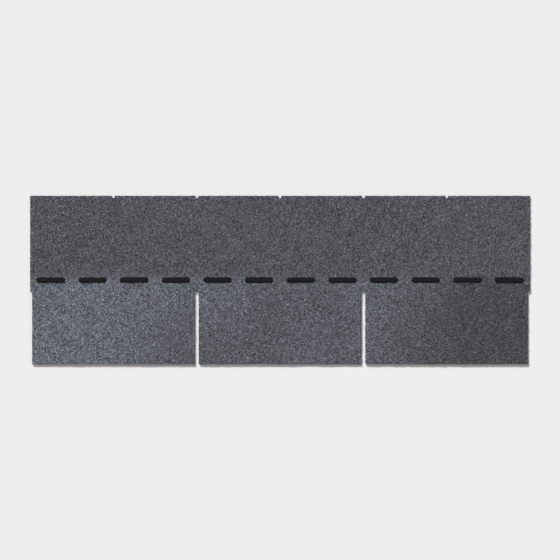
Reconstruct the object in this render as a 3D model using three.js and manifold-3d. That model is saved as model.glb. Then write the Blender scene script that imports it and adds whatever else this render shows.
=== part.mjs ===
// A three-tab asphalt strip shingle of the metric size, lying on its back with the granule face up.
// X runs along the strip, +Y up the roof slope and +Z out of the granule face. The origin is under
// the middle of the strip. All lengths are in millimetres.

import * as THREE from 'three';
import { mergeVertices } from 'three/addons/utils/BufferGeometryUtils.js';
import Module from 'manifold-3d';

// Strip
const STRIP_LENGTH = 1000;
const EXPOSURE = 143; // height of the tabs that stays open to the weather
const TOP_LAP = 194; // height that the next courses cover
const STRIP_THICKNESS = 3; // mat, asphalt and granules together
const TAB_COUNT = 3;

// Cutouts between the tabs. Each end has half a cutout, which the neighbouring strip completes.
const CUTOUT_WIDTH = 8;
const CUTOUT_PAST_EXPOSURE = 3; // how far a cutout runs up under the next course
const TAB_CORNER_RADIUS = 1.5;

// Alignment notches in the top edge, which place the next course half a tab along
const NOTCHES_PER_TAB = 2;
const NOTCH_WIDTH = 6;
const NOTCH_DEPTH = 5;

// Nailing band, between the cutouts and the sealant
const NAIL_LINE_ABOVE_EXPOSURE = 14;
const NAIL_BAND_HEIGHT = 10;

// Self-seal adhesive dashes on the granule face
const DASHES_PER_TAB = 4;
const DASH_LENGTH = 58;
const DASH_WIDTH = 12;
const DASH_HEIGHT = 0.8;
const DASH_SKIRT = 0.2; // upright part of a dash's edge, below its rounded shoulder
const DASH_SHOULDER_WIDTH = 3;
const DASH_ABOVE_NAIL_LINE = 11.5; // from the nail line to the middle of the dashes

// Release film in the back coating, opposite the dashes
const FILM_WIDTH = 32;
const FILM_THICKNESS = 0.125;
const FILM_SIDE_CLEARANCE = 0.25; // from each edge of the film to the wall of its recess

// Smoothness: an arc in an outline becomes twice as many chords as its divisions
const TAB_ARC_DIVISIONS = 3;
const NOTCH_ARC_DIVISIONS = 4;
const DASH_ARC_DIVISIONS = 6;
const DASH_SHOULDER_SEGMENTS = 4;

const CUTTER_MARGIN = 1; // how far a cutting solid reaches past what it cuts

// Places that follow from the sizes
const tabPitch = STRIP_LENGTH / TAB_COUNT;
const halfLength = STRIP_LENGTH / 2;
const halfCutout = CUTOUT_WIDTH / 2;
const topEdgeY = (EXPOSURE + TOP_LAP) / 2;
const buttY = -topEdgeY;
const exposureY = buttY + EXPOSURE;
const cutoutShoulderY = exposureY + CUTOUT_PAST_EXPOSURE - halfCutout;
const nailLineY = exposureY + NAIL_LINE_ABOVE_EXPOSURE;
const nailBandBottomY = nailLineY - NAIL_BAND_HEIGHT / 2;
const nailBandTopY = nailLineY + NAIL_BAND_HEIGHT / 2;
const sealantY = nailLineY + DASH_ABOVE_NAIL_LINE;

const granuleMaterial = new THREE.MeshStandardMaterial({ color: '#5d6068', roughness: 0.9, metalness: 0 });
const sealantMaterial = new THREE.MeshStandardMaterial({ color: '#141414', roughness: 0.35, metalness: 0 });
const filmMaterial = new THREE.MeshStandardMaterial({ color: '#4a4d50', roughness: 0.2, metalness: 0 });

const wasm = await Module();
wasm.setup();

function toSolid(geometry) {
  const bare = geometry.clone();
  bare.deleteAttribute('normal');
  bare.deleteAttribute('uv');
  const merged = mergeVertices(bare);
  return new wasm.Manifold(new wasm.Mesh({
    numProp: 3,
    vertProperties: merged.attributes.position.array,
    triVerts: Uint32Array.from(merged.index.array),
  }));
}

function toGeometry(solid) {
  const mesh = solid.getMesh();
  const geometry = new THREE.BufferGeometry();
  geometry.setAttribute('position', new THREE.BufferAttribute(mesh.vertProperties, 3));
  geometry.setIndex(new THREE.BufferAttribute(mesh.triVerts, 1));
  geometry.computeVertexNormals();
  return geometry;
}

// A flat layer of the strip's thickness, standing on z = 0
function sheet(outline, arcDivisions) {
  const settings = { depth: STRIP_THICKNESS, bevelEnabled: false, curveSegments: arcDivisions };
  return toSolid(new THREE.ExtrudeGeometry(outline, settings));
}

function block(width, height, depth, x, y, z) {
  return toSolid(new THREE.BoxGeometry(width, height, depth).translate(x, y, z));
}

// The tabs' outline goes along the butt edge from left to right, up round each cutout on its way,
// and comes back along the foot of the nailing band.
function tabsOutline() {
  const outline = new THREE.Shape();
  const r = TAB_CORNER_RADIUS;
  outline.moveTo(-halfLength, nailBandBottomY);
  outline.lineTo(-halfLength, cutoutShoulderY + halfCutout);
  outline.absarc(-halfLength, cutoutShoulderY, halfCutout, Math.PI / 2, 0, true);
  for (let tab = 0; tab < TAB_COUNT; tab += 1) {
    const cutoutBefore = -halfLength + tab * tabPitch;
    const cutoutAfter = cutoutBefore + tabPitch;
    const left = cutoutBefore + halfCutout;
    const right = cutoutAfter - halfCutout;
    outline.lineTo(left, buttY + r);
    outline.absarc(left + r, buttY + r, r, Math.PI, 1.5 * Math.PI, false);
    outline.lineTo(right - r, buttY);
    outline.absarc(right - r, buttY + r, r, -Math.PI / 2, 0, false);
    outline.lineTo(right, cutoutShoulderY);
    outline.absarc(cutoutAfter, cutoutShoulderY, halfCutout, Math.PI, Math.PI / 2, true);
    if (tab < TAB_COUNT - 1) {
      outline.absarc(cutoutAfter, cutoutShoulderY, halfCutout, Math.PI / 2, 0, true);
    }
  }
  outline.lineTo(halfLength, nailBandBottomY);
  outline.closePath();
  return outline;
}

// The headlap's outline has the alignment notches in its top edge, cut from right to left.
function headlapOutline() {
  const outline = new THREE.Shape();
  const notchPitch = tabPitch / NOTCHES_PER_TAB;
  const notchCount = TAB_COUNT * NOTCHES_PER_TAB - 1;
  const radius = NOTCH_WIDTH / 2;
  const notchCentreY = topEdgeY - NOTCH_DEPTH + radius;
  outline.moveTo(-halfLength, nailBandTopY);
  outline.lineTo(halfLength, nailBandTopY);
  outline.lineTo(halfLength, topEdgeY);
  for (let notch = notchCount; notch >= 1; notch -= 1) {
    const x = -halfLength + notch * notchPitch;
    outline.lineTo(x + radius, topEdgeY);
    outline.lineTo(x + radius, notchCentreY);
    outline.absarc(x, notchCentreY, radius, 0, -Math.PI, true);
    outline.lineTo(x - radius, topEdgeY);
  }
  outline.lineTo(-halfLength, topEdgeY);
  outline.closePath();
  return outline;
}

// One solid of three bands, the tabs, the nailing band and the headlap, with the film's recess in its back
function stripGeometry() {
  const tabs = sheet(tabsOutline(), TAB_ARC_DIVISIONS);
  const headlap = sheet(headlapOutline(), NOTCH_ARC_DIVISIONS);
  const nailBand = block(STRIP_LENGTH, NAIL_BAND_HEIGHT, STRIP_THICKNESS, 0, nailLineY, STRIP_THICKNESS / 2);
  const recess = block(
    STRIP_LENGTH + 2 * CUTTER_MARGIN, FILM_WIDTH + 2 * FILM_SIDE_CLEARANCE, FILM_THICKNESS + CUTTER_MARGIN,
    0, sealantY, (FILM_THICKNESS - CUTTER_MARGIN) / 2,
  );
  return toGeometry(tabs.add(nailBand).add(headlap).subtract(recess));
}

// A pillow with round ends: an extrusion with a rounded shoulder, cut off flat where it lies on the granules
function dashGeometry() {
  const outline = new THREE.Shape();
  const radius = DASH_WIDTH / 2;
  const endX = DASH_LENGTH / 2 - radius;
  outline.absarc(endX, 0, radius, -Math.PI / 2, Math.PI / 2, false);
  outline.absarc(-endX, 0, radius, Math.PI / 2, 1.5 * Math.PI, false);
  outline.closePath();
  const pillow = new THREE.ExtrudeGeometry(outline, {
    depth: DASH_SKIRT,
    curveSegments: DASH_ARC_DIVISIONS,
    bevelThickness: DASH_HEIGHT - DASH_SKIRT,
    bevelSize: DASH_SHOULDER_WIDTH,
    bevelOffset: -DASH_SHOULDER_WIDTH,
    bevelSegments: DASH_SHOULDER_SEGMENTS,
  });
  const under = block(
    DASH_LENGTH + 2 * CUTTER_MARGIN, DASH_WIDTH + 2 * CUTTER_MARGIN, DASH_HEIGHT, 0, 0, -DASH_HEIGHT / 2,
  );
  return toGeometry(toSolid(pillow).subtract(under));
}

function addPiece(parent, name, geometry, material, x, y, z) {
  const piece = new THREE.Mesh(geometry, material);
  piece.name = name;
  piece.position.set(x, y, z);
  parent.add(piece);
}

const shingle = new THREE.Group();
addPiece(shingle, 'shingle_strip', stripGeometry(), granuleMaterial, 0, 0, 0);

const sealantLine = new THREE.Group();
sealantLine.position.set(0, sealantY, STRIP_THICKNESS);
const dash = dashGeometry();
const dashPitch = tabPitch / DASHES_PER_TAB;
for (let i = 0; i < TAB_COUNT * DASHES_PER_TAB; i += 1) {
  const name = `sealant_dash_${String(i + 1).padStart(2, '0')}`;
  addPiece(sealantLine, name, dash, sealantMaterial, -halfLength + (i + 0.5) * dashPitch, 0, 0);
}
shingle.add(sealantLine);

const film = new THREE.BoxGeometry(STRIP_LENGTH, FILM_WIDTH, FILM_THICKNESS);
addPiece(shingle, 'release_film', film, filmMaterial, 0, sealantY, FILM_THICKNESS / 2);

export default shingle;
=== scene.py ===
"""Dresses a three-tab asphalt strip shingle: a die-cut asphalt sheet, a pressed layer of mineral
granules on its face, self-seal dashes above the tabs and a release film on its back."""

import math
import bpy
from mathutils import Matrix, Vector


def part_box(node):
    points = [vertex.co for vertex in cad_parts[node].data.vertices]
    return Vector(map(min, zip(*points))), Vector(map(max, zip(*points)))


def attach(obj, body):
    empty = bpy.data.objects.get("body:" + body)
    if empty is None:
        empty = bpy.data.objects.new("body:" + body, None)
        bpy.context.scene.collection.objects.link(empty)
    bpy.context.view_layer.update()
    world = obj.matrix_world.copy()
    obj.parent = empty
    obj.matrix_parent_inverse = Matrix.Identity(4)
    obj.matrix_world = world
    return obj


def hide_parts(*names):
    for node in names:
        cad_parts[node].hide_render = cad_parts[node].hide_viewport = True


bl_info = {
    "name": "Three-Tab Shingle",
    "version": (1, 0, 0),
    "blender": (4, 5, 0),
    "location": "View3D > Sidebar > Shingle",
    "description": "Builds the granules, asphalt sheet, sealant and film of a strip shingle",
    "category": "Object",
}

import bmesh
import bpy
from bpy.props import FloatProperty, FloatVectorProperty, IntProperty, PointerProperty
from mathutils import Vector, noise

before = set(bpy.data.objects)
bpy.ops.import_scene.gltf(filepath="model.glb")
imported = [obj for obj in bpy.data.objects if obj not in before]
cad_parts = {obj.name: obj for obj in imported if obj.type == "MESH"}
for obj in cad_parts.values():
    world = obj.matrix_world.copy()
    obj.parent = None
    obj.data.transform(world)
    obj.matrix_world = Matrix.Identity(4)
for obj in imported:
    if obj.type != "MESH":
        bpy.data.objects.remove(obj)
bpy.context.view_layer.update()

MM = 0.001
STRIP_LOW, STRIP_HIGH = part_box("shingle_strip")
FILM_LOW, FILM_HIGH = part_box("release_film")
DASH_NODES = sorted(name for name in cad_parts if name.startswith("sealant_dash"))
TAB_NAMES = ("left", "middle", "right")
TAB_PITCH = (STRIP_HIGH.x - STRIP_LOW.x) / len(TAB_NAMES)
NOTCHES_PER_TAB = 2
IMAGE_WIDTH = 560  # pixels
SENSOR_WIDTH = 36  # millimetres, as Blender's cameras count it

# Chords in an arc of the die's outline
SLOT_CHORDS = 12
CORNER_CHORDS = 3
NOTCH_CHORDS = 6

# Tears in a metre of a cut edge: the knife's slow and quick wander, with their shares of the whole,
# the parting of the layers, and the granules that have broken off
SLOW_WANDER, SLOW_SHARE = 110, 0.4
QUICK_WANDER, QUICK_SHARE = 420, 0.6
LAYER_TEAR = 900
LOSS_TEAR = 350
RING_DRAW = 7.3  # from one ring's draw of tears to the next ring's
LOSS_DRAW = 5.5

# Seeds of the random draws that give each granule its tone, shape and lie
TONE, SQUASH, WIDTH, LEAN, CORNERS, WAY_UP = range(11, 17)
TONE_NAME = "granule_tone"
PAST_EDGE = 5 * MM  # how far the regions of the granule layer reach past the strip

# Grains in a metre of each material, and where most of the grain's speckle lies
GRANULE_GRAIN, ASPHALT_GRAIN, SEALANT_GRAIN = 2600, 1500, 900
SPECKLE_RANGE = (0.3, 0.7)


# Properties


def number(name, description, default, least=0, **kind):
    return FloatProperty(name=name, description=description, default=default, min=least, **kind)


def length(name, description, default_mm, least_mm=0):
    kind = {"subtype": "DISTANCE", "unit": "LENGTH", "precision": 5}
    return number(name, description, default_mm * MM, least_mm * MM, **kind)


def share(name, description, default):
    return number(name, description, default, max=1, subtype="FACTOR")


def angle(name, description, degrees):
    return number(name, description, math.radians(degrees), subtype="ANGLE", unit="ROTATION")


def shape(name, description, shares):
    return FloatVectorProperty(name=name, description=description, default=shares, min=0, subtype="XYZ")


def color(name, description, rgb):
    kind = {"min": 0, "max": 1, "subtype": "COLOR"}
    return FloatVectorProperty(name=name, description=description, default=rgb, **kind)


class SheetSettings(bpy.types.PropertyGroup):
    """The asphalt sheet that carries the granules: its die-cut outline, its layers and its colours."""

    exposure: length("Exposure", "Height of the tabs that stays open to the weather", 143)
    cutout_width: length("Cutout Width", "Width of the slots between the tabs", 8)
    cutout_past_exposure: length("Cutout Past Exposure", "How far a slot runs under the next course", 3)
    corner_radius: length("Corner Radius", "Rounding of the tabs' lower corners", 1.5)
    notch_width: length("Notch Width", "Width of the alignment notches in the top edge", 6)
    notch_depth: length("Notch Depth", "Depth of the alignment notches in the top edge", 5)
    bed_height: length("Bed Height", "Top of the asphalt that the granules are pressed into", 2.3)
    edge_step: length("Edge Step", "Distance between the points of the cut edges", 1.2)
    edge_raggedness: length("Edge Raggedness", "How far the cut edges wander in and out", 1.1)
    edge_loss: length("Edge Loss", "Most that granules stand back where the cut broke them off", 1.3)
    layer_raggedness: length("Layer Raggedness", "How far the layers in the cut edges part", 0.3)
    mat_bottom: length("Mat Bottom", "Height of the glass mat's underside in the sheet", 0.95)
    mat_top: length("Mat Top", "Height of the glass mat's upper side in the sheet", 1.35)
    fines_size: length("Fines Size", "Width of the mineral crumbs between the granules", 1.0)
    sand_size: length("Sand Size", "Width of the grains of sand on the back", 0.8)
    asphalt_color: color("Asphalt", "Colour of the filled asphalt coating", (0.010, 0.0095, 0.009))
    fines_color: color("Fines", "Colour of the mineral crumbs between the granules", (0.13, 0.135, 0.15))
    mat_color: color("Mat", "Colour of the glass fibres where the mat is cut", (0.16, 0.15, 0.13))
    sand_color: color("Sand", "Colour of the parting sand on the back", (0.20, 0.195, 0.185))


class GranuleSettings(bpy.types.PropertyGroup):
    """The pressed layer of ceramic-coated mineral granules."""

    spacing: length("Spacing", "Least distance between the middles of two granules", 1.33)
    tries: number("Tries", "Points thrown at each square of the spacing, before the close ones go", 8)
    size: length("Size", "Typical width of a granule, corner to corner", 2.6)
    size_spread: share("Size Spread", "How far granules vary from the typical width", 0.3)
    # Length, width and height as shares of a granule's own size
    flattest: shape("Flattest", "A granule's least length, width and height", (1.05, 0.88, 0.5))
    roundest: shape("Roundest", "A granule's most length, width and height", (1.48, 1.25, 0.85))
    jitter: share("Jitter", "How far a granule's corners wander, as a share of the typical width", 0.15)
    tilt: angle("Tilt", "Greatest tilt of a granule in its bed", 18)
    seat: length("Seat", "Height of a granule's middle from the asphalt's top", -0.1, least_mm=-1)
    pressed_height: length("Pressed Height", "Height above which the press roll flattens granules", 2.95)
    pressing: share("Pressing", "How much of what stands above that height the roll takes away", 0.8)
    clump_length: length("Clump Length", "Distance from one clump of like granules to the next", 3.6)
    clumping: number("Clumping", "How alike neighbouring granules are", 0.28)
    blend_length: length("Blend Length", "Length of the soft light and dark patches", 420)
    # The offset places the patches light at the left end and dark at the right: partly the blend's own
    # random drift, partly painted shade of a lamp falling off from the left
    blend_offset: FloatVectorProperty(
        name="Blend Offset", description="The shingle's place in the endless run of patches",
        default=(-11.83, 1.556, 0), subtype="TRANSLATION", unit="LENGTH",
    )
    bright_tint: color("Bright Tint", "What the brightest patches keep of a granule's colour", (1, 1, 1))
    dull_tint: color("Dull Tint", "What the dullest patches keep of it", (0.418, 0.40, 0.382))
    mottle_scale: number("Mottle Scale", "Small soft spots in a metre", 28)
    mottling: share("Mottling", "How far the small spots change the shade", 0.40)
    prime_lane: length("Prime Lane", "Height from the butt edge that the blended granules cover", 176)
    lane_scatter: length("Lane Scatter", "How far granules stray over the edge of that lane", 12)
    headlap_shade: share("Headlap Shade", "Shade of the headlap, from the dull tint to the bright", 0.28)
    charcoal: color("Charcoal", "Colour of the darkest granules", (0.0274, 0.0296, 0.0346))
    slate: color("Slate", "Colour of the dark grey granules", (0.1050, 0.1132, 0.1325))
    pewter: color("Pewter", "Colour of the mid grey granules", (0.2381, 0.2568, 0.3004))
    frost: color("Frost", "Colour of the few pale granules", (0.409, 0.441, 0.516))
    seed: IntProperty(name="Seed", description="Random seed of the granule layer", default=7)


class SealantSettings(bpy.types.PropertyGroup):
    """The self-seal asphalt dashes above the tabs."""

    sink: length("Sink", "How far a dash has flowed down between the granules", 0.5)
    turn: angle("Turn", "Most that a dash is turned out of line", 0.7)
    shortest: shape("Shortest", "A dash's least length, width and height, as shares", (0.97, 0.92, 1.0))
    longest: shape("Longest", "A dash's most length, width and height, as shares", (1.02, 1.04, 1.0))
    wander: length("Wander", "How far a dash's edge wanders from its clean outline", 0.7)
    lumps: length("Lumps", "Height of the lumps in a dash's surface", 0.35)
    seal_color: color("Sealant", "Colour of the sealant", (0.0065, 0.0065, 0.0070))
    dust_color: color("Dust", "Colour of the dust on its skin", (0.045, 0.046, 0.050))
    seed: IntProperty(name="Seed", description="Random seed of the dashes", default=3)


class FilmSettings(bpy.types.PropertyGroup):
    """The release film on the back."""

    film_color: color("Film", "Colour of the clear film over the black back", (0.030, 0.032, 0.035))
    milky_color: color("Milky", "Colour where the film has lifted from the back", (0.11, 0.115, 0.12))
    wrinkle_length: length("Wrinkle Length", "Length of the fine wrinkles along the film", 14)


class StageSettings(bpy.types.PropertyGroup):
    """The floor, the lamps and the camera that looks straight down."""

    pixel_size: length("Pixel Size", "Length on the shingle that one pixel of the picture shows", 2.0)
    lens: FloatProperty(name="Lens", description="Focal length", default=100, subtype="DISTANCE_CAMERA")
    floor_size: length("Floor Size", "Side of the square floor", 24000)
    floor_color: color("Floor", "Colour of the floor", (0.86, 0.86, 0.86))
    cloudiness: share("Cloudiness", "How far soft clouds dim the floor", 0.015)
    fade_start: length("Fade Start", "Distance from the middle where the floor begins to pale", 450)
    fade_end: length("Fade End", "Distance from the middle where the floor is as pale as the sky", 2200)
    key_azimuth: angle("Key Azimuth", "Direction of the key lamp, turned left from up the slope", 28)
    key_elevation: angle("Key Elevation", "Height of the key lamp above the floor", 20)
    key_spread: angle("Key Spread", "How wide the key lamp looks, which softens its shadows", 8)
    key_level: share("Key Level", "Share of a plain light level that the key lamp gives", 0.66)
    sky_level: share("Sky Level", "Share of a plain light level that the world gives", 0.34)
    backdrop_level: share("Backdrop Level", "Brightness of the sky and far floor to the camera", 0.88)


# Outline


def arc(cx, cy, radius, start, end, chords):
    """Points on an arc, with its angles in degrees."""
    angles = [math.radians(start + (end - start) * i / chords) for i in range(chords + 1)]
    return [Vector((cx + radius * math.cos(a), cy + radius * math.sin(a))) for a in angles]


def die_cut_outline(s):
    """The strip's outline, counterclockwise: along the butt edge, round each cutout and back
    along the top edge with its alignment notches."""
    left_end, right_end = STRIP_LOW.x, STRIP_HIGH.x
    butt, top = STRIP_LOW.y, STRIP_HIGH.y
    half_slot = s.cutout_width / 2
    shoulder = butt + s.exposure + s.cutout_past_exposure - half_slot
    r = s.corner_radius
    outline = arc(left_end, shoulder, half_slot, 90, 0, SLOT_CHORDS // 2)
    for tab in range(len(TAB_NAMES)):
        slot_before = left_end + tab * TAB_PITCH
        slot_after = slot_before + TAB_PITCH
        outline += arc(slot_before + half_slot + r, butt + r, r, 180, 270, CORNER_CHORDS)
        outline += arc(slot_after - half_slot - r, butt + r, r, 270, 360, CORNER_CHORDS)
        if tab < len(TAB_NAMES) - 1:
            outline += arc(slot_after, shoulder, half_slot, 180, 0, SLOT_CHORDS)
    outline += arc(right_end, shoulder, half_slot, 180, 90, SLOT_CHORDS // 2)
    outline.append(Vector((right_end, top)))
    notch_pitch = TAB_PITCH / NOTCHES_PER_TAB
    notch_r = s.notch_width / 2
    for notch in range(NOTCHES_PER_TAB * len(TAB_NAMES) - 1, 0, -1):
        x = left_end + notch * notch_pitch
        outline.append(Vector((x + notch_r, top)))
        outline += arc(x, top - s.notch_depth + notch_r, notch_r, 0, -180, NOTCH_CHORDS)
        outline.append(Vector((x - notch_r, top)))
    outline.append(Vector((left_end, top)))
    return outline


def resampled(outline, step):
    """The same closed outline with points no further apart than the step."""
    points = []
    for a, b in zip(outline, outline[1:] + outline[:1]):
        parts = max(1, math.ceil((b - a).length / step))
        points += [a.lerp(b, i / parts) for i in range(parts)]
    return points


def outward_normals(points):
    """The direction out of a counterclockwise outline at each of its points."""
    normals = []
    for before, after in zip(points[-1:] + points[:-1], points[1:] + points[:1]):
        along = after - before
        normals.append(Vector((along.y, -along.x)).normalized())
    return normals


def torn(point, per_metre, draw=0.0):
    """A smooth random value from -1 to 1 at a point of the cut edge, with other values in each draw."""
    return noise.noise(Vector((point.x * per_metre, point.y * per_metre, draw)))


def cut_edge(s):
    """The die-cut outline as the knife leaves it in the coarse granules, a little ragged, and the
    directions out of it."""
    points = resampled(die_cut_outline(s), s.edge_step)
    normals = outward_normals(points)
    wander = [SLOW_SHARE * torn(p, SLOW_WANDER) + QUICK_SHARE * torn(p, QUICK_WANDER) for p in points]
    return [p + n * w * s.edge_raggedness for p, n, w in zip(points, normals, wander)], normals


# Node trees


def is_socket(value):
    return isinstance(value, bpy.types.NodeSocket)


def feed(tree, socket, value):
    """Links a socket to another one, or sets it to a plain value."""
    if is_socket(value):
        tree.links.new(value, socket)
    else:
        socket.default_value = value


def add(tree, kind, inputs=None, **settings):
    """Adds a node, applies its settings, and feeds its inputs."""
    node = tree.nodes.new(kind)
    for name, value in settings.items():
        setattr(node, name, value)
    for key, value in (inputs or {}).items():
        feed(tree, node.inputs[key], value)
    return node


def result(tree, kind, inputs=None, **settings):
    """The first output of a new node."""
    return add(tree, kind, inputs, **settings).outputs[0]


def maths(tree, operation, *values):
    return result(tree, "ShaderNodeMath", dict(enumerate(values)), operation=operation)


def vector_maths(tree, operation, *values):
    return result(tree, "ShaderNodeVectorMath", dict(enumerate(values)), operation=operation)


def scaled(tree, vector, factor):
    return result(tree, "ShaderNodeVectorMath", {0: vector, "Scale": factor}, operation="SCALE")


def combined(tree, x, y, z):
    return result(tree, "ShaderNodeCombineXYZ", {"X": x, "Y": y, "Z": z})


def separated(tree, vector):
    return add(tree, "ShaderNodeSeparateXYZ", {"Vector": vector}).outputs


def ranged(tree, value, span, to=(0.0, 1.0), smooth=False):
    """Maps a value from one range to another, and holds it inside the second one."""
    inputs = {"Value": value, "From Min": span[0], "From Max": span[1], "To Min": to[0], "To Max": to[1]}
    kind = "SMOOTHSTEP" if smooth else "LINEAR"
    return result(tree, "ShaderNodeMapRange", inputs, interpolation_type=kind)


def mixed(tree, factor, a, b):
    """Mixes two colours, each a socket or three numbers."""
    color_a, color_b, color_output = 6, 7, 2
    a, b = (value if is_socket(value) else (*value, 1) for value in (a, b))
    inputs = {"Factor": factor, color_a: a, color_b: b}
    return add(tree, "ShaderNodeMix", inputs, data_type="RGBA").outputs[color_output]


def mixed_values(tree, factor, a, b):
    float_a, float_b = 2, 3
    return result(tree, "ShaderNodeMix", {"Factor": factor, float_a: a, float_b: b}, data_type="FLOAT")


def noise_texture(tree, vector, scale, detail=2.0, roughness=0.5, output="Fac"):
    inputs = {"Vector": vector, "Scale": scale, "Detail": detail, "Roughness": roughness}
    return add(tree, "ShaderNodeTexNoise", inputs).outputs[output]


def random_vector(tree, low, high, seed, identity=None):
    inputs = {0: low, 1: high, "Seed": seed}
    if identity:
        inputs["ID"] = identity
    return result(tree, "FunctionNodeRandomValue", inputs, data_type="FLOAT_VECTOR")


def random_number(tree, low, high, seed):
    float_low, float_high, float_output = 2, 3, 1
    inputs = {float_low: low, float_high: high, "Seed": seed}
    return add(tree, "FunctionNodeRandomValue", inputs, data_type="FLOAT").outputs[float_output]


def between(tree, position, low, high):
    """True where a position is in a box."""
    vector_a, vector_b = 4, 5
    tests = []
    for operation, corner in (("GREATER_EQUAL", low), ("LESS_THAN", high)):
        inputs = {vector_a: position, vector_b: corner}
        settings = {"data_type": "VECTOR", "operation": operation, "mode": "ELEMENT"}
        tests.append(result(tree, "FunctionNodeCompare", inputs, **settings))
    return result(tree, "FunctionNodeBooleanMath", dict(enumerate(tests)), operation="AND")


def new_tree(name, kind, inputs, outputs):
    """An empty node group whose sockets are named under their kinds, its inputs and its output node."""
    tree = bpy.data.node_groups.new(name, kind)
    for direction, kinds in (("INPUT", inputs), ("OUTPUT", outputs)):
        for socket, labels in kinds.items():
            for label in labels:
                tree.interface.new_socket(label, in_out=direction, socket_type="NodeSocket" + socket)
    return tree, tree.nodes.new("NodeGroupInput").outputs, tree.nodes.new("NodeGroupOutput")


def geometry_tree(name, **inputs):
    """An empty Geometry Nodes tree that takes a mesh and what is named, and gives a mesh."""
    mesh = {"Geometry": ["Geometry"]}
    return new_tree(name, "GeometryNodeTree", {**mesh, **inputs}, mesh)


def grown(name, source, tree, values):
    """The plain mesh that a Geometry Nodes tree makes of a source mesh, as a new object."""
    worker = bpy.data.objects.new(name + "_source", source)
    bpy.context.scene.collection.objects.link(worker)
    modifier = worker.modifiers.new(tree.name, "NODES")
    modifier.node_group = tree
    for item in tree.interface.items_tree:
        if item.item_type == "SOCKET" and item.in_out == "INPUT" and item.name in values:
            modifier[item.identifier] = values[item.name]
    evaluated = worker.evaluated_get(bpy.context.evaluated_depsgraph_get())
    mesh = bpy.data.meshes.new_from_object(evaluated)
    worker.modifiers.remove(modifier)
    bpy.data.objects.remove(worker)
    mesh.name = name
    return placed(name, mesh)


def mesh_from(bm, name):
    mesh = bpy.data.meshes.new(name)
    bm.to_mesh(mesh)
    bm.free()
    return mesh


def placed(name, mesh):
    """A new object at the origin that holds a mesh."""
    piece = bpy.data.objects.new(name, mesh)
    bpy.context.scene.collection.objects.link(piece)
    return piece


def finished_piece(piece, slot, *nodes):
    """Hangs a piece on the row's one body, once it is known to have faces, and hides the CAD nodes that it
    stands for.
    """
    if not piece.data.polygons:
        raise RuntimeError(piece.name + " has no faces")
    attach(piece, "root")
    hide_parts(*nodes)


# Shader groups and materials


def surface_tree(name):
    """A new material, its node tree and its Principled BSDF."""
    material = bpy.data.materials.new(name)
    material.use_nodes = True
    tree = material.node_tree
    return material, tree, tree.nodes["Principled BSDF"]


def object_place(tree):
    return add(tree, "ShaderNodeTexCoord").outputs["Object"]


def seen_ray(tree):
    """1 for what the camera sees, straight or through gloss or glass, and 0 for what gives light."""
    path = add(tree, "ShaderNodeLightPath").outputs
    shows = maths(tree, "MAXIMUM", path["Is Camera Ray"], path["Is Glossy Ray"])
    return maths(tree, "MAXIMUM", shows, path["Is Transmission Ray"])


def stretched(tree, vector, scale):
    return result(tree, "ShaderNodeMapping", {"Vector": vector, "Scale": scale})


def coat(tree, shader, base_color, roughness, specular):
    feed(tree, shader.inputs["Base Color"], base_color)
    feed(tree, shader.inputs["Roughness"], roughness)
    shader.inputs["Specular IOR Level"].default_value = specular


def bump(tree, shader, height, strength, distance):
    inputs = {"Height": height, "Strength": strength, "Distance": distance}
    tree.links.new(result(tree, "ShaderNodeBump", inputs), shader.inputs["Normal"])


def shade_blend_group(name):
    """Soft light and dark patches, longer up the slope than along the strip, and small soft spots."""
    tree, given, out = new_tree(
        name,
        "ShaderNodeTree",
        {"Vector": ["Vector", "Offset"], "Float": ["Length", "Mottle Scale"]},
        {"Float": ["Lightness", "Mottle"]},
    )
    moved = vector_maths(tree, "ADD", given["Vector"], given["Offset"])
    long_up_slope = vector_maths(tree, "MULTIPLY", moved, (1.0, 0.4, 1.0))
    counted = scaled(tree, long_up_slope, maths(tree, "DIVIDE", 1.0, given["Length"]))
    patches = noise_texture(tree, counted, 1.0, roughness=0.3)
    mottle = noise_texture(tree, given["Vector"], given["Mottle Scale"], detail=3.0, roughness=0.6)
    tree.links.new(ranged(tree, patches, (0.34, 0.66), smooth=True), out.inputs["Lightness"])
    tree.links.new(mottle, out.inputs["Mottle"])
    return tree


def mineral_grain_group(name):
    """Fine crystal grain: a speckle from 0 to 1 and a height for a bump."""
    tree, given, out = new_tree(
        name,
        "ShaderNodeTree",
        {"Vector": ["Vector"], "Float": ["Grain Scale"]},
        {"Float": ["Speckle", "Height"]},
    )
    vector, scale = given["Vector"], given["Grain Scale"]
    speckle = noise_texture(tree, vector, scale, detail=3.0, roughness=0.65)
    cells = add(tree, "ShaderNodeTexVoronoi", {"Vector": vector, "Scale": scale}, feature="F1").outputs
    height = maths(tree, "MULTIPLY_ADD", cells["Distance"], 0.5, speckle)
    tree.links.new(speckle, out.inputs["Speckle"])
    tree.links.new(height, out.inputs["Height"])
    return tree


def add_group(tree, name, maker, inputs):
    """Places a shared group in a tree. The group is made the first time that it is asked for."""
    group = bpy.data.node_groups.get(name) or maker(name)
    return add(tree, "ShaderNodeGroup", inputs, node_tree=group).outputs


def mineral_grain(tree, vector, scale):
    inputs = {"Vector": vector, "Grain Scale": scale}
    return add_group(tree, "Mineral Grain", mineral_grain_group, inputs)


def color_ramp(tree, factor, stops):
    node = add(tree, "ShaderNodeValToRGB", {"Fac": factor})
    elements = node.color_ramp.elements
    while len(elements) < len(stops):
        elements.new(0.5)
    for element, (position, rgb) in zip(elements, stops):
        element.position = position
        element.color = (*rgb, 1)
    return node.outputs[0]


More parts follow.
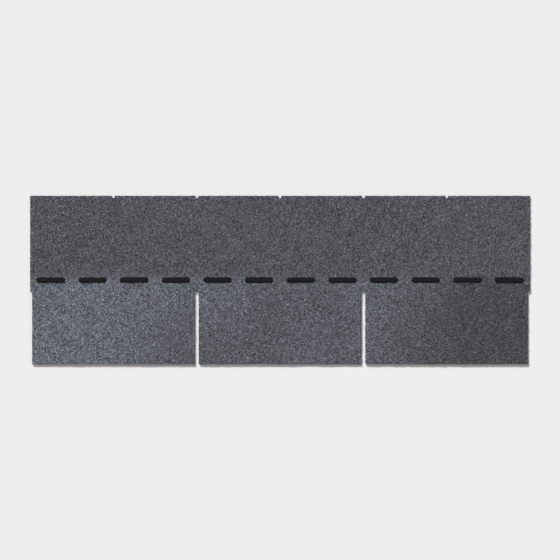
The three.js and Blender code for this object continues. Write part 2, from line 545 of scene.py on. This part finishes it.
def granule_shade(tree, place, tone, s):
    """How bright the mix of granules is: soft patches over the tabs, whose offset also lays painted shade
    that darkens them from the left end to the right, one shade over the headlap, and small spots over
    both. Granules stray across the line between them."""
    inputs = {
        "Vector": place,
        "Length": s.blend_length,
        "Offset": s.blend_offset,
        "Mottle Scale": s.mottle_scale,
    }
    blend = add_group(tree, "Shade Blend", shade_blend_group, inputs)
    strewn = maths(tree, "MULTIPLY_ADD", tone, s.lane_scatter, separated(tree, place)["Y"])
    lane_edge = STRIP_LOW.y + s.prime_lane
    in_headlap = ranged(tree, strewn, (lane_edge, lane_edge + s.lane_scatter))
    soft = mixed_values(tree, in_headlap, blend["Lightness"], s.headlap_shade)
    spots = maths(tree, "SUBTRACT", blend["Mottle"], 0.5)
    return maths(tree, "MULTIPLY_ADD", spots, s.mottling, soft)


def granule_material(s):
    """Ceramic-coated rock: each granule has a colour of its own, tinted by the shade of the mix round
    it, which also holds painted shade darkening from the left end to the right, and a fine crystal grain."""
    material, tree, shader = surface_tree("Ceramic granules")
    place = object_place(tree)
    tone = add(tree, "ShaderNodeAttribute", attribute_name=TONE_NAME).outputs["Fac"]
    colors = ((0.0, s.charcoal), (0.15, s.slate), (0.85, s.pewter), (1.0, s.frost))
    tint = mixed(tree, granule_shade(tree, place, tone, s), s.dull_tint, s.bright_tint)
    grain = mineral_grain(tree, place, GRANULE_GRAIN)
    glitter = ranged(tree, grain["Speckle"], SPECKLE_RANGE, to=(0.88, 1.12))
    crystals = scaled(tree, color_ramp(tree, tone, colors), glitter)
    roughness = ranged(tree, grain["Speckle"], SPECKLE_RANGE, to=(0.72, 0.92))
    coat(tree, shader, vector_maths(tree, "MULTIPLY", crystals, tint), roughness, specular=0.3)
    bump(tree, shader, grain["Height"], strength=0.35, distance=0.12 * MM)
    return material


def crumbs(tree, vector, size, sparseness):
    """Round crumbs of about one size: 0 between them, and up to 1 on the palest."""
    cells = add(tree, "ShaderNodeTexVoronoi", {"Vector": vector, "Scale": 1 / size}).outputs
    crumb = ranged(tree, cells["Distance"], (0.45, 0.32))
    pick = add(tree, "ShaderNodeSeparateColor", {"Color": cells["Color"]}).outputs["Red"]
    return maths(tree, "MULTIPLY", crumb, ranged(tree, pick, (sparseness, 1.0), to=(0.1, 1.0)))


def cut_fibres(tree, place, height, s):
    """The ends of the glass fibres in the cut edge, drawn out flat, at the height of the mat."""
    flat = stretched(tree, place, (1.0, 1.0, 14.0))
    fibres = ranged(tree, noise_texture(tree, flat, 900.0, detail=4.0, roughness=0.7), (0.5, 0.66))
    fade = 0.1 * MM
    above = ranged(tree, height, (s.mat_bottom, s.mat_bottom + fade))
    below = ranged(tree, height, (s.mat_top, s.mat_top - fade))
    in_mat = maths(tree, "MULTIPLY", maths(tree, "MULTIPLY", above, below), fibres)
    return maths(tree, "MULTIPLY", in_mat, 0.75)


def parting_sand(tree, place, height, s):
    """Grains of sand and a streaky dust, only on the back."""
    along = stretched(tree, place, (0.45, 1.0, 1.0))
    streaks = noise_texture(tree, along, 45.0, detail=5.0, roughness=0.7)
    dust = ranged(tree, streaks, (0.34, 0.68), to=(0.10, 0.30))
    sand = maths(tree, "MAXIMUM", dust, crumbs(tree, place, s.sand_size, sparseness=0.35))
    on_back = ranged(tree, height, (0.2 * MM, 0.15 * MM))
    return maths(tree, "MULTIPLY", on_back, sand)


def sheet_material(s):
    """Black filled asphalt with mineral crumbs in its top, cut glass fibres in its edge, and dust and
    sand on its back."""
    material, tree, shader = surface_tree("Filled asphalt")
    place = object_place(tree)
    height = separated(tree, place)["Z"]
    in_bed = ranged(tree, height, (s.bed_height - 0.1 * MM, s.bed_height - 0.05 * MM))
    fines = maths(tree, "MULTIPLY", in_bed, crumbs(tree, place, s.fines_size, sparseness=0.25))
    bed = mixed(tree, fines, s.asphalt_color, s.fines_color)
    edge = mixed(tree, cut_fibres(tree, place, height, s), bed, s.mat_color)
    sanded = mixed(tree, parting_sand(tree, place, height, s), edge, s.sand_color)
    grain = mineral_grain(tree, place, ASPHALT_GRAIN)
    roughness = ranged(tree, grain["Speckle"], SPECKLE_RANGE, to=(0.6, 0.95))
    coat(tree, shader, sanded, roughness, specular=0.2)
    bump(tree, shader, grain["Height"], strength=0.6, distance=0.25 * MM)
    return material


def sealant_material(s):
    """Soft black asphalt with a skin that shines on its lumps and is dull under dust."""
    material, tree, shader = surface_tree("Self-seal asphalt")
    place = object_place(tree)
    grain = mineral_grain(tree, place, SEALANT_GRAIN)
    waves = noise_texture(tree, place, 450.0, detail=3.0, roughness=0.55)
    dusty = ranged(tree, grain["Speckle"], (0.52, 0.74), to=(0.0, 0.6))
    skin = mixed(tree, dusty, s.seal_color, s.dust_color)
    coat(tree, shader, skin, ranged(tree, waves, (0.35, 0.7), to=(0.7, 1.0)), specular=0.09)
    bump(tree, shader, maths(tree, "ADD", waves, grain["Height"]), strength=0.5, distance=0.25 * MM)
    return material


def film_material(s):
    """Thin clear film over black asphalt: glossy, with fine wrinkles across its length."""
    material, tree, shader = surface_tree("Release film")
    across = stretched(tree, object_place(tree), (1.0, 0.25, 1.0))
    wrinkles = noise_texture(tree, across, 1 / s.wrinkle_length, detail=4.0, roughness=0.6)
    lifted = ranged(tree, wrinkles, (0.4, 0.75), to=(0.0, 0.5))
    film = mixed(tree, lifted, s.film_color, s.milky_color)
    coat(tree, shader, film, ranged(tree, wrinkles, (0.3, 0.7), to=(0.12, 0.3)), specular=0.5)
    bump(tree, shader, wrinkles, strength=0.4, distance=0.3 * MM)
    return material


def floor_material(s):
    """A pale floor that keeps the shingle's shadow and, for the camera, pales into the sky far off."""
    material, tree, shader = surface_tree("Pale floor")
    place = object_place(tree)
    dimmer = [c * (1 - s.cloudiness) for c in s.floor_color]
    clouds = mixed(tree, noise_texture(tree, place, 1.3), dimmer, s.floor_color)
    coat(tree, shader, clouds, roughness=1.0, specular=0.0)
    from_middle = add(tree, "ShaderNodeVectorMath", {0: place}, operation="LENGTH").outputs["Value"]
    far = ranged(tree, from_middle, (s.fade_start, s.fade_end), smooth=True)
    faded = maths(tree, "MULTIPLY", far, seen_ray(tree))
    sky = result(tree, "ShaderNodeEmission", {"Color": (1, 1, 1, 1), "Strength": s.backdrop_level})
    pale = result(tree, "ShaderNodeMixShader", {0: faded, 1: shader.outputs[0], 2: sky})
    tree.links.new(pale, tree.nodes["Material Output"].inputs["Surface"])
    return material


# Pieces


def flat_back(bm):
    """The faces of the sheet's flat underside, and everything they are made of."""
    faces = [face for face in bm.faces if all(vert.co.z == 0 for vert in face.verts)]
    edges = {edge for face in faces for edge in face.edges}
    verts = {vert for edge in edges for vert in edge.verts}
    return faces, [*faces, *edges, *verts]


def edge_ring(bm, points, normals, reach, height):
    """Vertices at one height, each moved out of the outline by its own reach."""
    return [bm.verts.new((*(p + n * r), height)) for p, n, r in zip(points, normals, reach)]


def press_film_recess(bm):
    """Presses the release film's place into the sheet's back."""
    for y in (FILM_LOW.y, FILM_HIGH.y):
        _, back = flat_back(bm)
        bmesh.ops.bisect_plane(bm, geom=back, plane_co=(0, y, 0), plane_no=(0, 1, 0))
    faces, _ = flat_back(bm)
    under_film = [face for face in faces if FILM_LOW.y < face.calc_center_median().y < FILM_HIGH.y]
    # The back faces down, so a depth below zero goes up into the sheet
    film_thickness = FILM_HIGH.z - FILM_LOW.z
    bmesh.ops.inset_region(bm, faces=under_film, thickness=0, depth=-film_thickness)


def edge_profile(s):
    """The height of each ring round the cut edge, from the back up, and how far it lies inside the
    outline."""
    return (
        (0.0, 0.40 * MM),
        (0.3 * MM, 0.12 * MM),
        (0.9 * MM, 0.25 * MM),
        (1.3 * MM, 0.05 * MM),
        (1.8 * MM, 0.20 * MM),
        (s.bed_height, 0.30 * MM),
    )


class SHINGLE_OT_asphalt_sheet(bpy.types.Operator):
    """Build the die-cut asphalt sheet with its ragged edges"""

    bl_idname = "shingle.asphalt_sheet"
    bl_label = "Asphalt Sheet"

    def execute(self, context):
        s = context.scene.shingle_sheet
        points, normals = cut_edge(s)
        bm = bmesh.new()
        rings = []
        for ring, (height, inset) in enumerate(edge_profile(s)):
            reach = [torn(p, LAYER_TEAR, RING_DRAW * ring) * s.layer_raggedness - inset for p in points]
            rings.append(edge_ring(bm, points, normals, reach, height))
        for lower, upper in zip(rings, rings[1:]):
            for corners in zip(lower, lower[1:] + lower[:1], upper[1:] + upper[:1], upper):
                bm.faces.new(corners)
        caps = [bm.faces.new(rings[-1]), bm.faces.new(rings[0][::-1])]
        bm.normal_update()
        bmesh.ops.triangulate(bm, faces=caps, ngon_method="EAR_CLIP")
        press_film_recess(bm)
        sheet = placed("asphalt_sheet", mesh_from(bm, "asphalt_sheet"))
        sheet.data.materials.append(sheet_material(s))
        finished_piece(sheet, "granule_sheet", "shingle_strip")
        return {"FINISHED"}


def scatter_tree():
    """Spreads the granules' middles over their bed, none too close, each with a tone of its own."""
    tree, given, out = geometry_tree(
        "Granule Scatter", Float=["Spacing", "Density", "Clump Scale", "Clumping"], Int=["Seed"]
    )
    spread = {
        "Mesh": given["Geometry"],
        "Distance Min": given["Spacing"],
        "Density Max": given["Density"],
        "Seed": given["Seed"],
    }
    middles = result(tree, "GeometryNodeDistributePointsOnFaces", spread, distribute_method="POISSON")
    position = result(tree, "GeometryNodeInputPosition")
    clump = noise_texture(tree, position, given["Clump Scale"], detail=0.0)
    from_middle = maths(tree, "SUBTRACT", clump, 0.5)
    own = random_number(tree, 0.0, 1.0, TONE)
    tone = maths(tree, "MULTIPLY_ADD", from_middle, given["Clumping"], own)
    stored = {"Geometry": middles, "Name": TONE_NAME, "Value": tone}
    toned = result(tree, "GeometryNodeStoreNamedAttribute", stored, data_type="FLOAT")
    tree.links.new(result(tree, "GeometryNodePointsToVertices", {"Points": toned}), out.inputs[0])
    return tree


def chips_on(tree, points, given):
    """An octahedral chip on each point, turned any way up, squashed to a width of its own, and tilted
    in its bed."""
    position = result(tree, "GeometryNodeInputPosition")
    octahedron = result(tree, "GeometryNodeMeshUVSphere", {"Segments": 4, "Rings": 2, "Radius": 0.5})
    any_way_up = random_vector(tree, (0.0, 0.0, 0.0), (math.tau, math.tau, math.tau), WAY_UP)
    instances = {"Points": points, "Instance": octahedron, "Rotation": any_way_up}
    chips = result(tree, "GeometryNodeInstanceOnPoints", instances)

    squash = random_vector(tree, given["Flattest"], given["Roundest"], SQUASH)
    width = random_number(tree, given["Smallest"], given["Largest"], WIDTH)
    size = scaled(tree, squash, maths(tree, "MULTIPLY", width, given["Size"]))
    sizing = {"Instances": chips, "Scale": size, "Center": position, "Local Space": False}
    flat_chips = result(tree, "GeometryNodeScaleInstances", sizing)

    leaning = maths(tree, "MULTIPLY", given["Tilt"], -1.0)
    turn_low = combined(tree, leaning, leaning, 0.0)
    turn_high = combined(tree, given["Tilt"], given["Tilt"], math.tau)
    turn = random_vector(tree, turn_low, turn_high, LEAN)
    turning = {"Instances": flat_chips, "Rotation": turn, "Pivot Point": position, "Local Space": False}
    return result(tree, "GeometryNodeRotateInstances", turning)


def pressed_place(tree, given):
    """Where a corner ends up: inside the die's outline, and lower if it stood above the press roll."""
    axes = separated(tree, result(tree, "GeometryNodeInputPosition"))
    over = maths(tree, "MAXIMUM", maths(tree, "SUBTRACT", axes["Z"], given["Pressed Height"]), 0.0)
    downward = maths(tree, "MULTIPLY", given["Pressing"], -1.0)
    height = maths(tree, "MULTIPLY_ADD", over, downward, axes["Z"])
    at_outline = combined(tree, axes["X"], axes["Y"], given["Outline Height"])
    outline = add(tree, "GeometryNodeObjectInfo", {"Object": given["Outline"]}).outputs["Geometry"]
    inputs = {"Geometry": outline, "Sample Position": at_outline}
    nearest = add(tree, "GeometryNodeProximity", inputs, target_element="FACES").outputs["Position"]
    trimmed = separated(tree, nearest)
    return combined(tree, trimmed["X"], trimmed["Y"], height)


def chip_tree():
    """Puts an angular chip on each point in one region, gives each its own corners, presses the
    highest down and cuts off what reaches past the die's outline."""
    tree, given, out = geometry_tree(
        "Granule Chips",
        Vector=["Region Low", "Region High", "Flattest", "Roundest"],
        Float=[
            "Size", "Smallest", "Largest", "Jitter", "Tilt", "Pressed Height", "Pressing", "Outline Height"
        ],
        Object=["Outline"],
        Material=["Material"],
    )
    position = result(tree, "GeometryNodeInputPosition")
    inside = between(tree, position, given["Region Low"], given["Region High"])
    region = {"Geometry": given["Geometry"], "Selection": inside}
    points = result(tree, "GeometryNodeSeparateGeometry", region)
    loose = result(tree, "GeometryNodeRealizeInstances", {"Geometry": chips_on(tree, points, given)})

    index = result(tree, "GeometryNodeInputIndex")
    offset = random_vector(tree, (-1.0, -1.0, -1.0), (1.0, 1.0, 1.0), CORNERS, index)
    corner_offset = scaled(tree, offset, maths(tree, "MULTIPLY", given["Jitter"], given["Size"]))
    broken = result(tree, "GeometryNodeSetPosition", {"Geometry": loose, "Offset": corner_offset})
    pressed = {"Geometry": broken, "Position": pressed_place(tree, given)}
    laid = result(tree, "GeometryNodeSetPosition", pressed)
    faceted = result(tree, "GeometryNodeSetShadeSmooth", {"Geometry": laid, "Shade Smooth": False})
    coating = {"Geometry": faceted, "Material": given["Material"]}
    tree.links.new(result(tree, "GeometryNodeSetMaterial", coating), out.inputs[0])
    return tree


def granule_bed(sheet, height):
    """The area that holds granules, as a flat face at the height of their middles. It stands back
    from the cut where granules have broken off."""
    points, normals = cut_edge(sheet)
    steepness = 3
    lost = [min(1.0, max(0.0, steepness * torn(p, LOSS_TEAR, LOSS_DRAW))) for p in points]
    bm = bmesh.new()
    reach = [-sheet.edge_loss * share_lost for share_lost in lost]
    bed = bm.faces.new(edge_ring(bm, points, normals, reach, height))
    bm.normal_update()
    bmesh.ops.triangulate(bm, faces=[bed], ngon_method="EAR_CLIP")
    return mesh_from(bm, "granule_bed")


def granule_regions(sheet):
    """The name and the lowest and highest corner of each tab and each third of the headlap."""
    tab_top = STRIP_LOW.y + sheet.exposure + sheet.cutout_past_exposure
    bands = (
        ("tab", STRIP_LOW.y - PAST_EDGE, tab_top),
        ("headlap", tab_top, STRIP_HIGH.y + PAST_EDGE),
    )
    last = len(TAB_NAMES) - 1
    for band, low_y, high_y in bands:
        for third, side in enumerate(TAB_NAMES):
            low_x = STRIP_LOW.x + third * TAB_PITCH - (PAST_EDGE if third == 0 else 0)
            high_x = STRIP_LOW.x + (third + 1) * TAB_PITCH + (PAST_EDGE if third == last else 0)
            yield f"granules_{band}_{side}", (low_x, low_y, STRIP_LOW.z), (high_x, high_y, STRIP_HIGH.z)


def lay_bake_map(piece):
    """A map that looks straight down on the piece and fills the square with it."""
    mesh = piece.data
    xs = [v.co.x for v in mesh.vertices]
    ys = [v.co.y for v in mesh.vertices]
    low_x, low_y = min(xs), min(ys)
    wide, high = max(xs) - low_x, max(ys) - low_y
    layer = mesh.uv_layers.new(name="OFBake")
    for loop, uv in zip(mesh.loops, layer.uv):
        i = loop.vertex_index
        uv.vector = ((xs[i] - low_x) / wide, (ys[i] - low_y) / high)


class SHINGLE_OT_granules(bpy.types.Operator):
    """Scatter the granule layer over each tab and each third of the headlap"""

    bl_idname = "shingle.granules"
    bl_label = "Granules"

    def execute(self, context):
        sheet, s = context.scene.shingle_sheet, context.scene.shingle_granules
        height = sheet.bed_height + s.seat
        outline = placed("granule_outline", granule_bed(sheet, height))
        scatter_values = {
            "Spacing": s.spacing,
            "Density": s.tries / s.spacing**2,
            "Clump Scale": 1 / s.clump_length,
            "Clumping": s.clumping,
            "Seed": s.seed,
        }
        middles = grown("granule_middles", outline.data.copy(), scatter_tree(), scatter_values)
        chip_values = {
            "Outline": outline,
            "Outline Height": height,
            "Size": s.size,
            "Smallest": 1 - s.size_spread,
            "Largest": 1 + s.size_spread,
            "Flattest": s.flattest,
            "Roundest": s.roundest,
            "Jitter": s.jitter,
            "Tilt": s.tilt,
            "Pressed Height": s.pressed_height,
            "Pressing": s.pressing,
            "Material": granule_material(s),
        }
        chips = chip_tree()
        for name, low, high in granule_regions(sheet):
            values = {**chip_values, "Region Low": low, "Region High": high}
            piece = grown(name, middles.data, chips, values)
            lay_bake_map(piece)
            finished_piece(piece, "granule_sheet", "shingle_strip")
        bpy.data.objects.remove(middles)
        bpy.data.objects.remove(outline)
        return {"FINISHED"}


def dash_blank(dash_length, dash_width, dash_height, columns=64, rows=16):
    """A closed pillow with round ends, centred on the origin with its flat underside at z = 0."""
    radius = dash_width / 2
    straight = dash_length / dash_width - 1  # half length of the straight part, in radii
    bm = bmesh.new()
    top = {}
    for i in range(columns + 1):
        for j in range(rows + 1):
            u = (2 * i / columns - 1) * (straight + 1)
            v = 2 * j / rows - 1
            past = max(0.0, abs(u) - straight)
            # An elliptical map of a square's half onto the round end
            end = past * math.sqrt(1 - v * v / 2)
            side = v * math.sqrt(1 - past * past / 2)
            x = math.copysign(min(abs(u), straight) + end, u) * radius
            from_axis = min(1.0, math.hypot(end, side))
            z = dash_height * math.sqrt(1 - from_axis**4)
            top[i, j] = bm.verts.new((x, side * radius, z))
    for i in range(columns):
        for j in range(rows):
            bm.faces.new([top[c] for c in ((i, j), (i + 1, j), (i + 1, j + 1), (i, j + 1))])
    rim = [edge for edge in bm.edges if edge.is_boundary]
    under = bmesh.ops.contextual_create(bm, geom=rim)["faces"]
    bmesh.ops.recalc_face_normals(bm, faces=bm.faces)
    for face in bm.faces:
        face.smooth = face not in under
    bmesh.ops.triangulate(bm, faces=under)
    return mesh_from(bm, "dash_blank")


def dash_tree():
    """Lays one dash after another along the strip and makes each a little uneven."""
    tree, given, out = geometry_tree(
        "Sealant Dashes",
        Int=["Count", "Seed"],
        Vector=["First", "Step", "Turn", "Shortest", "Longest"],
        Float=["Wander", "Lumps", "Base"],
        Material=["Material"],
    )
    steps = {"Count": given["Count"], "Start Location": given["First"], "Offset": given["Step"]}
    turned_back = scaled(tree, given["Turn"], -1.0)
    instances = {
        "Points": result(tree, "GeometryNodeMeshLine", steps, mode="OFFSET"),
        "Instance": given["Geometry"],
        "Rotation": random_vector(tree, turned_back, given["Turn"], given["Seed"]),
        "Scale": random_vector(tree, given["Shortest"], given["Longest"], given["Seed"]),
    }
    dashes = result(tree, "GeometryNodeInstanceOnPoints", instances)
    loose = result(tree, "GeometryNodeRealizeInstances", {"Geometry": dashes})

    position = result(tree, "GeometryNodeInputPosition")
    ways = []
    for lumps_in_a_metre in (80.0, 380.0):
        way = noise_texture(tree, position, lumps_in_a_metre, detail=1.0, output="Color")
        ways.append(vector_maths(tree, "SUBTRACT", way, (0.5, 0.5, 0.5)))
    above_base = maths(tree, "GREATER_THAN", separated(tree, position)["Z"], given["Base"])
    rise = maths(tree, "MULTIPLY", above_base, given["Lumps"])
    reach = combined(tree, given["Wander"], given["Wander"], rise)
    offset = vector_maths(tree, "MULTIPLY", vector_maths(tree, "ADD", *ways), reach)
    uneven = result(tree, "GeometryNodeSetPosition", {"Geometry": loose, "Offset": offset})
    coating = {"Geometry": uneven, "Material": given["Material"]}
    tree.links.new(result(tree, "GeometryNodeSetMaterial", coating), out.inputs[0])
    return tree


class SHINGLE_OT_sealant_dashes(bpy.types.Operator):
    """Lay the self-seal dashes in a line above the tabs"""

    bl_idname = "shingle.sealant_dashes"
    bl_label = "Sealant Dashes"

    def execute(self, context):
        s = context.scene.shingle_sealant
        low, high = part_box(DASH_NODES[0])
        second_low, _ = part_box(DASH_NODES[1])
        underside = low.z - s.sink
        values = {
            "Count": len(DASH_NODES),
            "First": ((low.x + high.x) / 2, (low.y + high.y) / 2, underside),
            "Step": (second_low.x - low.x, 0.0, 0.0),
            "Turn": (0.0, 0.0, s.turn),
            "Shortest": s.shortest,
            "Longest": s.longest,
            # The noise behind these two reaches only half a unit each way
            "Wander": 2 * s.wander,
            "Lumps": 2 * s.lumps,
            "Base": underside + 0.05 * MM,
            "Seed": s.seed,
            "Material": sealant_material(s),
        }
        blank = dash_blank(high.x - low.x, high.y - low.y, high.z - underside)
        piece = grown("self_seal_dashes", blank, dash_tree(), values)
        finished_piece(piece, "sealant", *DASH_NODES)
        return {"FINISHED"}


class SHINGLE_OT_release_film(bpy.types.Operator):
    """Give the release film on the back its glossy wrinkled finish"""

    bl_idname = "shingle.release_film"
    bl_label = "Release Film"

    def execute(self, context):
        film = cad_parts["release_film"]
        film.material_slots[0].material = film_material(context.scene.shingle_film)
        return {"FINISHED"}


# Stage


def add_camera(s):
    data = bpy.data.cameras.new("Camera")
    data.lens = s.lens
    data.sensor_width = SENSOR_WIDTH
    picture_width = s.pixel_size * IMAGE_WIDTH
    camera = bpy.data.objects.new("Camera", data)
    camera.location = (0, 0, picture_width * s.lens / SENSOR_WIDTH + STRIP_HIGH.z)
    data.clip_end = 4 * camera.location.z
    bpy.context.scene.collection.objects.link(camera)
    bpy.context.scene.camera = camera


def add_key_lamp(s):
    """A far soft lamp up the slope and to the left, at a power that gives its share of a plain level."""
    flat = math.cos(s.key_elevation)
    towards_lamp = Vector((
        -flat * math.sin(s.key_azimuth),
        flat * math.cos(s.key_azimuth),
        math.sin(s.key_elevation),
    ))
    data = bpy.data.lights.new("Key", "SUN")
    data.angle = s.key_spread
    data.energy = s.key_level * math.pi / towards_lamp.z
    lamp = bpy.data.objects.new("Key", data)
    lamp.rotation_euler = towards_lamp.to_track_quat("Z", "Y").to_euler()
    bpy.context.scene.collection.objects.link(lamp)


def light_world(s):
    """An even sky that lights at its own level and looks pale to the camera and in gloss."""
    world = bpy.data.worlds.new("Sky")
    world.use_nodes = True
    bpy.context.scene.world = world
    tree = world.node_tree
    strength = ranged(tree, seen_ray(tree), (0.0, 1.0), to=(s.sky_level, s.backdrop_level))
    background = tree.nodes["Background"]
    background.inputs["Color"].default_value = (1, 1, 1, 1)
    tree.links.new(strength, background.inputs["Strength"])


class SHINGLE_OT_stage(bpy.types.Operator):
    """Set up the pale floor, the lamps and the camera that looks straight down"""

    bl_idname = "shingle.stage"
    bl_label = "Stage"

    def execute(self, context):
        s = context.scene.shingle_stage
        bm = bmesh.new()
        bmesh.ops.create_grid(bm, x_segments=1, y_segments=1, size=s.floor_size / 2)
        floor = placed("floor", mesh_from(bm, "floor"))
        floor.data.materials.append(floor_material(s))
        add_camera(s)
        add_key_lamp(s)
        light_world(s)
        context.scene.view_settings.view_transform = "Standard"
        return {"FINISHED"}


class SHINGLE_PT_panel(bpy.types.Panel):
    """Lists each piece's settings and the operator that makes it"""

    bl_idname = "SHINGLE_PT_panel"
    bl_label = "Three-Tab Shingle"
    bl_space_type = "VIEW_3D"
    bl_region_type = "UI"
    bl_category = "Shingle"

    def draw(self, context):
        for scene_name, (settings_class, operator) in PIECES.items():
            box = self.layout.box()
            settings = getattr(context.scene, scene_name)
            for setting in settings_class.__annotations__:
                box.prop(settings, setting)
            box.operator(operator.bl_idname)


# The settings and the operator of each piece, under the name that the scene keeps the settings by
PIECES = {
    "shingle_stage": (StageSettings, SHINGLE_OT_stage),
    "shingle_sheet": (SheetSettings, SHINGLE_OT_asphalt_sheet),
    "shingle_granules": (GranuleSettings, SHINGLE_OT_granules),
    "shingle_sealant": (SealantSettings, SHINGLE_OT_sealant_dashes),
    "shingle_film": (FilmSettings, SHINGLE_OT_release_film),
}


def register():
    for scene_name, (settings_class, operator) in PIECES.items():
        bpy.utils.register_class(settings_class)
        bpy.utils.register_class(operator)
        setattr(bpy.types.Scene, scene_name, PointerProperty(type=settings_class))
    bpy.utils.register_class(SHINGLE_PT_panel)


def unregister():
    bpy.utils.unregister_class(SHINGLE_PT_panel)
    for scene_name, (settings_class, operator) in reversed(PIECES.items()):
        delattr(bpy.types.Scene, scene_name)
        bpy.utils.unregister_class(operator)
        bpy.utils.unregister_class(settings_class)


def main():
    register()
    bpy.ops.shingle.stage()
    bpy.ops.shingle.asphalt_sheet()
    bpy.ops.shingle.granules()
    bpy.ops.shingle.sealant_dashes()
    bpy.ops.shingle.release_film()


if __name__ == "__main__":
    main()
